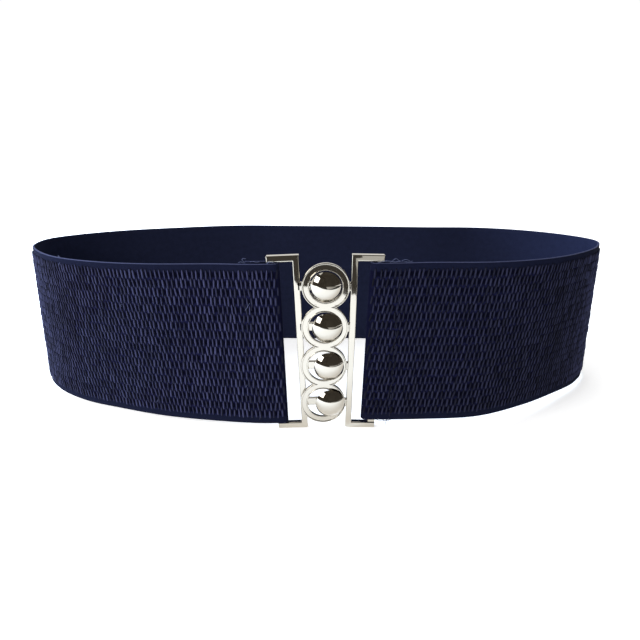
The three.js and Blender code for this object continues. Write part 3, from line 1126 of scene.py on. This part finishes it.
    def on_cloth(self, distance: np.ndarray, lift: np.ndarray, share: np.ndarray) -> np.ndarray:
        """Places points given on the cloth itself.

        Args:
            distance: Distance along the cloth from the ring half's cut edge, in millimetres.
            lift: Height above the middle of the cloth, on its outer side.
            share: Share of the width, from the lower edge.

        Returns:
            Points in drawing millimetres.
        """
        known = self.path[:, 2]
        run, depth = (np.interp(distance, known, self.path[:, k]) for k in (0, 1))
        slope = np.gradient(self.path[:, :2], known, axis=0)
        slope /= np.linalg.norm(slope, axis=1)[:, None]
        along, inwards = (np.interp(distance, known, slope[:, k]) for k in (0, 1))
        scale = np.hypot(along, inwards)
        # Each hem is turned in slightly askew, so its cut end stands above the front layer
        ring_fold, stud_fold = self.fold_places()
        ring = np.clip((ring_fold - distance) / self.hem, 0, 1) * self.hem_skew[0]
        stud = np.clip((distance - stud_fold) / self.hem, 0, 1) * self.hem_skew[1]
        share = share + (ring + stud) / self.width
        return self.wrap(run + lift * inwards / scale, depth - lift * along / scale, share)

    def fold_places(self) -> tuple[float, float]:
        """Finds the two fold lines.

        Returns:
            Cloth distances of the ring half's fold and the stud half's.
        """
        half = len(self.path) // 2
        ring = int(np.argmin(self.path[:half, 0]))
        stud = half + int(np.argmax(self.path[half:, 0]))
        return float(self.path[ring, 2]), float(self.path[stud, 2])

    def ground(self, finishes: TapeFinishes) -> Object:
        """Builds the cloth that the ribs stand on.

        Args:
            finishes: Materials of the tape.

        Returns:
            The cloth, standing for the part's elastic_band.
        """
        top_row = self.width - self.first_row
        columns = len(self.path)
        build = bmesh.new()
        bmesh.ops.create_grid(build, x_segments=columns - 1, y_segments=self.rows, size=0.5)
        build.verts.ensure_lookup_table()
        flat = np.array([vert.co[:2] for vert in build.verts]) + 0.5
        distance = self.path[np.rint(flat[:, 0] * (columns - 1)).astype(int), 2]
        lift = np.full(len(flat), (self.ground_wall - self.wall) / 2)
        points = place_points(self.on_cloth(distance, lift, flat[:, 1]))
        layer = build.loops.layers.uv.new("cloth")
        spots = {vert.index: (distance[vert.index], flat[vert.index, 1] * self.width) for vert in build.verts}
        for face in build.faces:
            for loop in face.loops:
                loop[layer].uv = spots[loop.vert.index]
            middle = face.calc_center_median()
            level = (middle.y + 0.5) * self.width
            ribbed = top_row - self.rib_rows * self.row_height < level < top_row
            face.material_index = 0 if ribbed else 1
        for vert, point in zip(build.verts, points):
            vert.co = point
        mesh = bpy.data.meshes.new("elastic_cloth")
        build.normal_update()
        build.to_mesh(mesh)
        build.free()
        mesh.attributes.new("raised", "FLOAT", "POINT").data.foreach_set("value", self.raised_at(distance))
        piece = finish_piece("elastic_cloth", mesh, finishes.hollow, self.sharp_deg)
        for more in (finishes.plain, finishes.inner, finishes.inner, finishes.rim):
            mesh.materials.append(more)
        thick = piece.modifiers.new("wall", "SOLIDIFY")
        thick.thickness = self.ground_wall * MM
        thick.offset = 0.0
        # The wall's other side and its edges take the slots after the outer face's own
        thick.material_offset = 2
        thick.material_offset_rim = 3
        edge = piece.modifiers.new("selvage", "BEVEL")
        edge.width = self.edge_round * MM
        edge.segments = self.edge_steps
        edge.limit_method = "ANGLE"
        edge.angle_limit = math.radians(self.sharp_deg)
        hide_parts("elastic_band")
        return piece

    def rib_form(self) -> tuple[np.ndarray, list[list[int]]]:
        """Builds one rib of unit size: a long rounded ridge, open only where it meets the ground.

        Returns:
            Vertex rows of across, height and along, and the faces that join them.
        """
        build = bmesh.new()
        around, along = self.rib_faces
        bmesh.ops.create_uvsphere(build, u_segments=around, v_segments=along, radius=1.0)
        bmesh.ops.bisect_plane(
            build, geom=build.verts[:] + build.edges[:] + build.faces[:], dist=SAME_POINT,
            plane_co=(0, 0, 0), plane_no=(0, -1, 0), clear_outer=True,
        )
        rim = [edge for edge in build.edges if edge.is_boundary]
        bmesh.ops.contextual_create(build, geom=rim)
        bmesh.ops.recalc_face_normals(build, faces=build.faces)
        build.verts.ensure_lookup_table()
        corners = np.array([vert.co[:] for vert in build.verts])
        # A float is a straight strand for most of its length, with short tapered ends
        taper = np.sqrt(np.clip(1 - corners[:, 2] ** 2, 0, 1))
        fuller = np.where(taper > 1e-3, np.clip(taper, 1e-3, 1) ** -self.rib_bluntness, 1.0)
        corners[:, :2] *= fuller[:, None]
        faces = [[vert.index for vert in face.verts] for face in build.faces]
        build.free()
        return corners, faces

    def raised_at(self, distance: np.ndarray) -> np.ndarray:
        """Finds how far the ribs stand up along the cloth.

        Args:
            distance: Distances along the cloth in millimetres.

        Returns:
            Shares from 0 at the folds to 1.
        """
        ring_fold, stud_fold = self.fold_places()
        from_fold = np.minimum(np.abs(distance - ring_fold), np.abs(distance - stud_fold))
        return smoothstep(from_fold, self.plain_fold, self.plain_fold + self.fold_fade)

    def lean_at(self, distance: np.ndarray) -> np.ndarray:
        """Finds how the ribs lean along the cloth.

        Args:
            distance: Distances along the cloth in millimetres.

        Returns:
            Slope along the cloth for each millimetre upwards.
        """
        shares = [row.share for row in self.leans]
        slopes = [math.tan(math.radians(row.degrees)) for row in self.leans]
        return np.interp(distance / self.cloth_length, shares, slopes)

    def tile(
        self, name: str, places: np.ndarray, sizes: np.ndarray, lean: np.ndarray, finish: Material
    ) -> Object:
        """Sets many small ridges on the outer face of the cloth, joined as one piece.

        Args:
            name: Piece name.
            places: Cloth distance and level of each ridge in millimetres.
            sizes: Half width, half length and height of each ridge in millimetres.
            lean: Slope of each ridge along the cloth for each millimetre upwards.
            finish: Material.

        Returns:
            The piece.
        """
        corners, faces = self.rib_form()
        along = corners[None, :, 2] * sizes[:, 1, None]
        distance = places[:, 0, None] + corners[None, :, 0] * sizes[:, 0, None] + along * lean[:, None]
        tall = sizes[:, 2, None] + self.rib_sunk
        lift = self.ground_wall - self.wall / 2 - self.rib_sunk + corners[None, :, 1] * tall
        share = (places[:, 1, None] + along) / self.width
        points = place_points(self.on_cloth(distance.ravel(), lift.ravel(), share.ravel()))
        # Lying on the cloth mirrors the form, so its faces are read backwards to stay outwards
        firsts = range(0, len(places) * len(corners), len(corners))
        joined = [[first + index for index in face[::-1]] for first in firsts for face in faces]
        mesh = bpy.data.meshes.new(name)
        mesh.from_pydata(points.tolist(), [], joined)
        layer = mesh.uv_layers.new(name="cloth")
        spots = np.column_stack([distance.ravel(), share.ravel() * self.width])
        loops = np.empty(len(mesh.loops), int)
        mesh.loops.foreach_get("vertex_index", loops)
        layer.uv.foreach_set("vector", spots[loops].ravel())
        # Painted highlight and shade: each float is painted brightest at its crest and a little to the side
        # that faces the light, darker down its flanks and where it stands lower, and no two are alike
        bright = np.random.default_rng(SEED + len(places)).uniform(*self.rib_shades, len(places))
        bright *= 0.5 + 0.5 * np.clip(sizes[:, 2] / self.rib_height, 0, 1)
        lit = corners[:, 1] * (1 - self.side_light * corners[:, 0])
        crest_highlight = mesh.attributes.new("crest_highlight", "FLOAT", "POINT")
        crest_highlight.data.foreach_set("value", (bright[:, None] * lit[None, :]).ravel())
        return finish_piece(name, mesh, finish, self.strand_deg)

    def ribs(self, name: str, rows: range, finish: Material) -> Object:
        """Builds the raised ribs of some of the rows.

        Args:
            name: Piece name.
            rows: Rows of ribs, from the lowest.
            finish: Cloth finish.

        Returns:
            The ribs as one piece.
        """
        rng = np.random.default_rng(SEED + rows.start)
        count = int(self.cloth_length / self.rib_pitch) - 1
        centres, levels = [], []
        for row in rows:
            shift = self.rib_pitch * (0.5 if row % 2 else 1.0)
            centres.append(shift + self.rib_pitch * np.arange(count))
            below_top = (self.rib_rows - row - 0.5) * self.row_height
            levels.append(np.full(count, self.width - self.first_row - below_top))
        centre = np.concatenate(centres) + rng.normal(0, self.rib_jitter[0], count * len(rows))
        level = np.concatenate(levels) + rng.normal(0, self.rib_jitter[1], count * len(rows))
        raised = self.raised_at(centre)
        for seam in self.seam_places():
            raised *= 1 - self.mark_depth * (1 - smoothstep(np.abs(centre - seam), *self.mark_fade))
        keep = raised > self.least_raised
        centre, level, raised = centre[keep], level[keep], raised[keep]
        total = len(centre)
        sizes = np.column_stack(
            [
                self.rib_half_width * rng.uniform(*self.rib_widths, total),
                self.row_height / 2 * self.rib_fill * rng.uniform(*self.rib_lengths, total),
                self.rib_height * raised * rng.uniform(*self.rib_heights, total),
            ]
        )
        lean = self.lean_at(centre) + rng.normal(0, self.lean_jitter, total)
        return self.tile(name, np.column_stack([centre, level]), sizes, lean, finish)

    def stitches(self, finish: Material) -> Object:
        """Sews the two hems down, with stitches on the front and on the hem behind.

        Args:
            finish: Thread finish.

        Returns:
            The stitches as one piece.
        """
        rng = np.random.default_rng(SEED)
        levels = np.arange(self.selvage, self.width - self.selvage + 0.1, self.stitch_pitch)
        places = []
        for fold in self.fold_places():
            for distance in (fold + self.seam_reach, fold - self.seam_reach):
                across = distance + rng.normal(0, self.stitch_jitter, len(levels))
                places.append(np.column_stack([across, levels]))
        spots = np.concatenate(places)
        sizes = np.tile(self.stitch_size, (len(spots), 1))
        return self.tile("hem_stitches", spots, sizes, rng.normal(0, self.lean_jitter, len(spots)), finish)

    def seam_places(self) -> tuple[float, float]:
        """Cloth distances of the pressed lines that the two hems leave on the front layer."""
        ring_fold, stud_fold = self.fold_places()
        return ring_fold + self.marks[0], stud_fold - self.marks[1]

    def fray(self, finish: Material) -> Object:
        """Pulls loose threads out of the hems.

        Args:
            finish: Thread finish.

        Returns:
            The threads as one piece.
        """
        path = bpy.data.curves.new("loose_threads", "CURVE")
        path.dimensions = "3D"
        path.bevel_depth = self.thread_radius * MM
        path.bevel_resolution = 1
        path.resolution_u = 4
        path.use_fill_caps = True
        ring_fold, stud_fold = self.fold_places()
        for thread in LOOSE_THREADS:
            reach, rise, lift = np.array(thread.points).T
            distance = ring_fold + reach if thread.ring else stud_fold - reach
            points = place_points(self.on_cloth(distance, lift, (thread.level + rise) / self.width))
            spline = path.splines.new("BEZIER")
            spline.bezier_points.add(len(points) - 1)
            for knot, point in zip(spline.bezier_points, points):
                knot.co = point
                knot.handle_left_type = knot.handle_right_type = "AUTO"
        holder = add_object("holder", path)
        mesh = bpy.data.meshes.new_from_object(holder.evaluated_get(bpy.context.evaluated_depsgraph_get()))
        bpy.data.objects.remove(holder)
        mesh.name = "loose_threads"
        mesh.materials.clear()
        return finish_piece("loose_threads", mesh, finish, self.strand_deg)

    def build(self, finishes: TapeFinishes) -> Object:
        """Args:
            finishes: Materials of the tape.

        Returns:
            The cloth.
        """
        cloth = self.ground(finishes)
        half = self.rib_rows // 2
        trim = [
            self.ribs("elastic_ribs_lower", range(0, half), finishes.rib),
            self.ribs("elastic_ribs_upper", range(half, self.rib_rows), finishes.rib),
            self.stitches(finishes.sewing),
            self.fray(finishes.loose),
        ]
        return cloth


@dataclass(frozen=True)
class Studio:
    """Camera, pale floor and soft light."""

    focal_px: float = 502.2
    image_px: float = 640.0
    sensor_mm: float = 36.0
    distance: float = 200.0
    height: float = 126.2
    pitch_deg: float = 19.95
    roll_deg: float = -0.5
    table_edge: float = 227.0
    table_glow: float = 0.42
    split: float = 42.0
    room_turn_deg: float = 32.0
    left_end: float = 900.0
    right_end: float = -300.0
    ceiling_end: float = 150.0
    room_depth: float = 1500.0
    room_width: float = 3000.0
    room_height: float = 2600.0
    dark_end: float = 640.0
    pale_size: tuple[float, float] = (600.0, 1500.0)
    pale_back: float = -980.0
    floor_size: float = 8000.0
    surround: float = 1.02
    flag_spot: tuple[float, float, float] = (430.0, -300.0, 350.0)
    flag_size: tuple[float, float] = (1100.0, 700.0)
    aim: tuple[float, float, float] = (0.0, 40.0, 40.0)

    def camera(self) -> None:
        """Places the camera as it stood for the photograph."""
        data = bpy.data.cameras.new("camera")
        data.sensor_width = self.sensor_mm
        data.lens = self.focal_px / self.image_px * self.sensor_mm
        data.clip_start, data.clip_end = 0.01, 20.0
        camera = add_object("camera", data)
        spot = Vector(place_points((0.0, -self.distance, self.height)))
        pitch = Matrix.Rotation(math.radians(90 - self.pitch_deg), 4, "X")
        roll = Matrix.Rotation(math.radians(self.roll_deg), 4, "Z")
        camera.matrix_world = Matrix.Translation(spot) @ pitch @ roll
        bpy.context.scene.camera = camera

    def plain(self, name: str, colour: str, glow: float = 0.0) -> Material:
        """Makes a plain matt paint for the set, which may glow a little."""
        look = {"Roughness": 0.9, "Specular_IOR_Level": 0.1, "Emission_Strength": glow}
        return new_material(name, colour, Emission_Color=(1, 1, 1, 1), **look)[0]

    def card(
        self, name: str, middle: Sequence[float], size: Sequence[float], faces: Sequence[float],
        paint: Material,
    ) -> Object:
        """Stands a flat card in the set.

        Args:
            name: Card name.
            middle: Its middle in drawing millimetres.
            size: Width and height in millimetres.
            faces: Direction that it faces.
            paint: Its material.

        Returns:
            The card.
        """
        build = bmesh.new()
        bmesh.ops.create_grid(build, x_segments=1, y_segments=1, size=0.5)
        turn = Vector(faces).to_track_quat("Z", "Y").to_matrix().to_4x4()
        bmesh.ops.transform(build, matrix=turn @ Matrix.Diagonal((*size, 1, 1)), verts=build.verts)
        mesh = mesh_from(name, build, Matrix.Translation(middle))
        mesh.materials.append(paint)
        card = add_object(name, mesh)
        return card

    def room(self) -> None:
        """Lays the floor and stands the dark cards that only the metal mirrors."""
        table = self.plain("white table", "FFFFFF", self.table_glow)
        self.card("floor", (0, 0, -0.02), (self.floor_size, self.floor_size), (0, 0, 1), table)
        dark = self.plain("dark room", "3F3A34")
        pale = self.plain("pale grey room", "C5C1BB")
        half, far, high = self.room_width / 2, -self.room_depth, self.room_height
        left, right, above = self.left_end, self.right_end, self.ceiling_end
        floor_spot = ((self.dark_end - half) / 2, far / 2, 0.2)
        walls = {
            "dark_floor": (floor_spot, (half + self.dark_end, -far), (0, 0, 1)),
            "far_wall": ((0, far, high / 2), (2 * half, high), (0, 1, 0)),
            "left_wall": ((-half, (far + left) / 2, high / 2), (left - far, high), (1, 0, 0)),
            "right_wall": ((half, (far + right) / 2, high / 2), (right - far, high), (1, 0, 0)),
            "ceiling": ((0, (far + above) / 2, high), (2 * half, above - far), (0, 0, 1)),
        }
        cards = [self.card(name, *wall, dark) for name, wall in walls.items()]
        turn = Matrix.Rotation(math.radians(self.room_turn_deg), 4, "Z")
        edge = Vector(place_points((0.0, -self.table_edge, 0.0)))
        zero = Vector(place_points((0.0, 0.0, 0.0)))
        place = Matrix.Translation(edge) @ turn @ Matrix.Translation(-zero)
        for card in cards:
            card.data.transform(place)
        pale_spot = (self.split + self.pale_size[0] / 2, self.pale_back, 0.4)
        cards.append(self.card("pale_floor", pale_spot, self.pale_size, (0, 0, 1), pale))
        for card in cards:
            card.visible_camera = False
            card.visible_diffuse = False
            card.visible_shadow = False
        # A black flag on the right keeps the surround's light off that side of the cloth
        black = self.plain("black flag", "050505")
        flag = self.card("flag", self.flag_spot, self.flag_size, (-1, 0, 0), black)
        flag.visible_camera = False
        flag.visible_glossy = False
        flag.visible_shadow = False

    def light(
        self, name: str, spot: Sequence[float], size: Sequence[float], power: float,
        colour: tuple[float, float, float], mirrored: bool,
    ) -> None:
        """Hangs a soft light that faces the belt.

        Args:
            name: Light name.
            spot: Place in drawing millimetres.
            size: Width and height in millimetres.
            power: Power in watts.
            colour: Linear red, green and blue.
            mirrored: True if the metal shows it.
        """
        data = bpy.data.lights.new(name, "AREA")
        data.shape = "RECTANGLE"
        data.size, data.size_y = size[0] * MM, size[1] * MM
        data.energy = power
        data.color = colour
        lamp = add_object(name, data)
        lamp.visible_glossy = mirrored
        place = Vector(place_points(spot))
        away = place - Vector(place_points(self.aim))
        lamp.matrix_world = Matrix.Translation(place) @ away.to_track_quat("Z", "Y").to_matrix().to_4x4()

    def lights(self) -> None:
        """Lights the set: an even white surround, a soft window in front and a bluer light at the left."""
        scene = bpy.context.scene
        world = bpy.data.worlds.new("white surround")
        world.use_nodes = True
        background = world.node_tree.nodes["Background"]
        background.inputs["Color"].default_value = (1, 1, 1, 1)
        background.inputs["Strength"].default_value = self.surround
        scene.world = world
        scene.view_settings.view_transform = "Standard"
        self.light("window", (-700, -380, 520), (460, 460), 4.0, (1, 1, 1), mirrored=True)
        self.light("sky", (-900, 300, 480), (350, 350), 20.0, (0.72, 0.9, 1.15), mirrored=False)

    def build(self) -> None:
        """Builds the set."""
        self.camera()
        self.room()
        self.lights()


def main() -> None:
    """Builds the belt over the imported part."""
    logging.basicConfig(level=logging.INFO)
    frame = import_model()
    LOG.info("nodes: %s", sorted(frame["nodes"]))
    Studio().build()
    nickel = NICKEL.material()
    StudHalf().build(nickel)
    RingHalf().build(nickel)
    looks = (
        GROUND_CLOTH, SHADED_HOLLOW_CLOTH, INNER_LIT_CLOTH, EDGE_HIGHLIGHT_CLOTH, RIB_CLOTH, SEWING_THREAD, LOOSE_THREAD
    )
    ElasticTape().build(TapeFinishes(*(look.material() for look in looks)))


if __name__ == "__main__":
    main()
